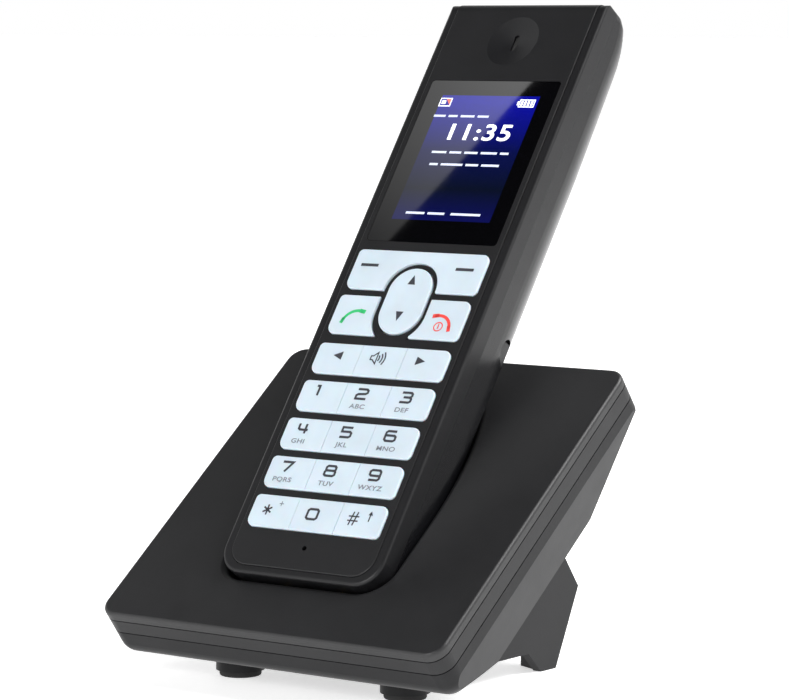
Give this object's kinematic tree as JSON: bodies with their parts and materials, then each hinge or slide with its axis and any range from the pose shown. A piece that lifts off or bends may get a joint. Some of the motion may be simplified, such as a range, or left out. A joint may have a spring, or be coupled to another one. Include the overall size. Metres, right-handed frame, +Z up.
{
  "type": "cordless phone with charging base",
  "caption": "Slim keypad handset standing in the trough of a sloped square charging base with a stand bracket under it.",
  "frame": {"origin": "centre of the bounding box, at table level", "axes": "+Z up, the keys face -Y and up, +X to the right of a person facing the keys"},
  "size_m": [0.0956, 0.113, 0.152],
  "materials": {
    "satin_black_shell": "satin, fine spark texture",
    "matte_black_plate": "matte, fine texture",
    "gloss_black_shell": "semi-gloss",
    "lens_black": "polished",
    "screen_blue": "smooth, lit",
    "receiver_grey": "moulded",
    "black_cloth": "woven",
    "grey_silicone": "moulded, soft",
    "dome_steel": "stamped",
    "board_green": "solder resist over laminate",
    "shield_tin": "tinned",
    "carrier_grey": "moulded",
    "battery_grey": "wrapped",
    "contact_gold": "gold plated",
    "screw_steel": "zinc plated",
    "matte_black_deck": "matte, fine texture",
    "matte_black_base": "matte, fine texture",
    "rubber_black": "soft, matte",
    "key_white": "translucent, satin"
  },
  "bodies": {
    "base": {"top_cover": "matte_black_deck", "trim_ring": "satin_black_shell", "lower_shell": "matte_black_base", "contact_block": "carrier_grey", "charger_board": "board_green", "dc_jack": "carrier_grey", "desk_stand": "matte_black_base", "front_feet": "rubber_black", "base_screws": "screw_steel", "stand_screws": "screw_steel"},
    "handset": {"front_shell": "satin_black_shell", "face_plate": "matte_black_plate", "display_lens": "lens_black", "lcd_module": "screen_blue", "earpiece": "receiver_grey", "earpiece_cloth": "black_cloth", "keypad_mat": "grey_silicone", "key_domes": "dome_steel", "main_board": "board_green", "microphone": "receiver_grey", "radio_shield": "shield_tin", "card_reader": "shield_tin", "loudspeaker": "receiver_grey", "antenna": "carrier_grey", "battery_pack": "battery_grey", "rear_shell": "gloss_black_shell", "handset_contacts": "contact_gold", "handset_screws": "screw_steel"},
    "battery_door": {"battery_door": "gloss_black_shell"},
    "charge_pin_left": {"charge_pin_left": "contact_gold"},
    "charge_pin_right": {"charge_pin_right": "contact_gold"},
    "soft_key_bar": {"soft_key_bar": "key_white"},
    "nav_key": {"nav_key": "key_white"},
    "star_key": {"star_key": "key_white"},
    "key_0": {"key_0": "key_white"},
    "hash_key": {"hash_key": "key_white"},
    "key_7": {"key_7": "key_white"},
    "key_8": {"key_8": "key_white"},
    "key_9": {"key_9": "key_white"},
    "key_4": {"key_4": "key_white"},
    "key_5": {"key_5": "key_white"},
    "key_6": {"key_6": "key_white"},
    "key_1": {"key_1": "key_white"},
    "key_2": {"key_2": "key_white"},
    "key_3": {"key_3": "key_white"},
    "left_key": {"left_key": "key_white"},
    "speaker_key": {"speaker_key": "key_white"},
    "right_key": {"right_key": "key_white"},
    "talk_key": {"talk_key": "key_white"},
    "end_key": {"end_key": "key_white"}
  },
  "joints": [
    {"name": "handset_lift", "type": "slide", "parent": "base", "child": "handset", "axis": [0, 0.5821, 0.8131], "range_m": [0, 0.12]},
    {"name": "battery_door_release", "type": "slide", "parent": "handset", "child": "battery_door", "axis": [0, 0.8131, -0.5821], "range_m": [0, 0.012]},
    {"name": "charge_pin_left_press", "type": "slide", "parent": "base", "child": "charge_pin_left", "axis": [0, -0.5821, -0.8131], "range_m": [0, 0.001], "stiffness_N_per_m": 150},
    {"name": "charge_pin_right_press", "type": "slide", "parent": "base", "child": "charge_pin_right", "axis": [0, -0.5821, -0.8131], "range_m": [0, 0.001], "stiffness_N_per_m": 150},
    {"name": "soft_key_bar_rock", "type": "hinge", "parent": "handset", "child": "soft_key_bar", "pos_m": [0, 0.00206, 0.0898], "axis": [0, 0.5821, 0.8131], "range_deg": [-1, 1], "stiffness_Nm_per_rad": 0.3},
    {"name": "nav_key_rock", "type": "hinge", "parent": "handset", "child": "nav_key", "pos_m": [0, -0.00254, 0.08338], "axis": [1, 0, 0], "range_deg": [-2, 2], "stiffness_Nm_per_rad": 0.1},
    {"name": "star_key_press", "type": "slide", "parent": "handset", "child": "star_key", "axis": [0, 0.8131, -0.5821], "range_m": [0, 0.0004], "stiffness_N_per_m": 300},
    {"name": "key_0_press", "type": "slide", "parent": "handset", "child": "key_0", "axis": [0, 0.8131, -0.5821], "range_m": [0, 0.0004], "stiffness_N_per_m": 300},
    {"name": "hash_key_press", "type": "slide", "parent": "handset", "child": "hash_key", "axis": [0, 0.8131, -0.5821], "range_m": [0, 0.0004], "stiffness_N_per_m": 300},
    {"name": "key_7_press", "type": "slide", "parent": "handset", "child": "key_7", "axis": [0, 0.8131, -0.5821], "range_m": [0, 0.0004], "stiffness_N_per_m": 300},
    {"name": "key_8_press", "type": "slide", "parent": "handset", "child": "key_8", "axis": [0, 0.8131, -0.5821], "range_m": [0, 0.0004], "stiffness_N_per_m": 300},
    {"name": "key_9_press", "type": "slide", "parent": "handset", "child": "key_9", "axis": [0, 0.8131, -0.5821], "range_m": [0, 0.0004], "stiffness_N_per_m": 300},
    {"name": "key_4_press", "type": "slide", "parent": "handset", "child": "key_4", "axis": [0, 0.8131, -0.5821], "range_m": [0, 0.0004], "stiffness_N_per_m": 300},
    {"name": "key_5_press", "type": "slide", "parent": "handset", "child": "key_5", "axis": [0, 0.8131, -0.5821], "range_m": [0, 0.0004], "stiffness_N_per_m": 300},
    {"name": "key_6_press", "type": "slide", "parent": "handset", "child": "key_6", "axis": [0, 0.8131, -0.5821], "range_m": [0, 0.0004], "stiffness_N_per_m": 300},
    {"name": "key_1_press", "type": "slide", "parent": "handset", "child": "key_1", "axis": [0, 0.8131, -0.5821], "range_m": [0, 0.0004], "stiffness_N_per_m": 300},
    {"name": "key_2_press", "type": "slide", "parent": "handset", "child": "key_2", "axis": [0, 0.8131, -0.5821], "range_m": [0, 0.0004], "stiffness_N_per_m": 300},
    {"name": "key_3_press", "type": "slide", "parent": "handset", "child": "key_3", "axis": [0, 0.8131, -0.5821], "range_m": [0, 0.0004], "stiffness_N_per_m": 300},
    {"name": "left_key_press", "type": "slide", "parent": "handset", "child": "left_key", "axis": [0, 0.8131, -0.5821], "range_m": [0, 0.0004], "stiffness_N_per_m": 300},
    {"name": "speaker_key_press", "type": "slide", "parent": "handset", "child": "speaker_key", "axis": [0, 0.8131, -0.5821], "range_m": [0, 0.0004], "stiffness_N_per_m": 300},
    {"name": "right_key_press", "type": "slide", "parent": "handset", "child": "right_key", "axis": [0, 0.8131, -0.5821], "range_m": [0, 0.0004], "stiffness_N_per_m": 300},
    {"name": "talk_key_press", "type": "slide", "parent": "handset", "child": "talk_key", "axis": [0, 0.8131, -0.5821], "range_m": [0, 0.0004], "stiffness_N_per_m": 300},
    {"name": "end_key_press", "type": "slide", "parent": "handset", "child": "end_key", "axis": [0, 0.8131, -0.5821], "range_m": [0, 0.0004], "stiffness_N_per_m": 300}
  ]
}
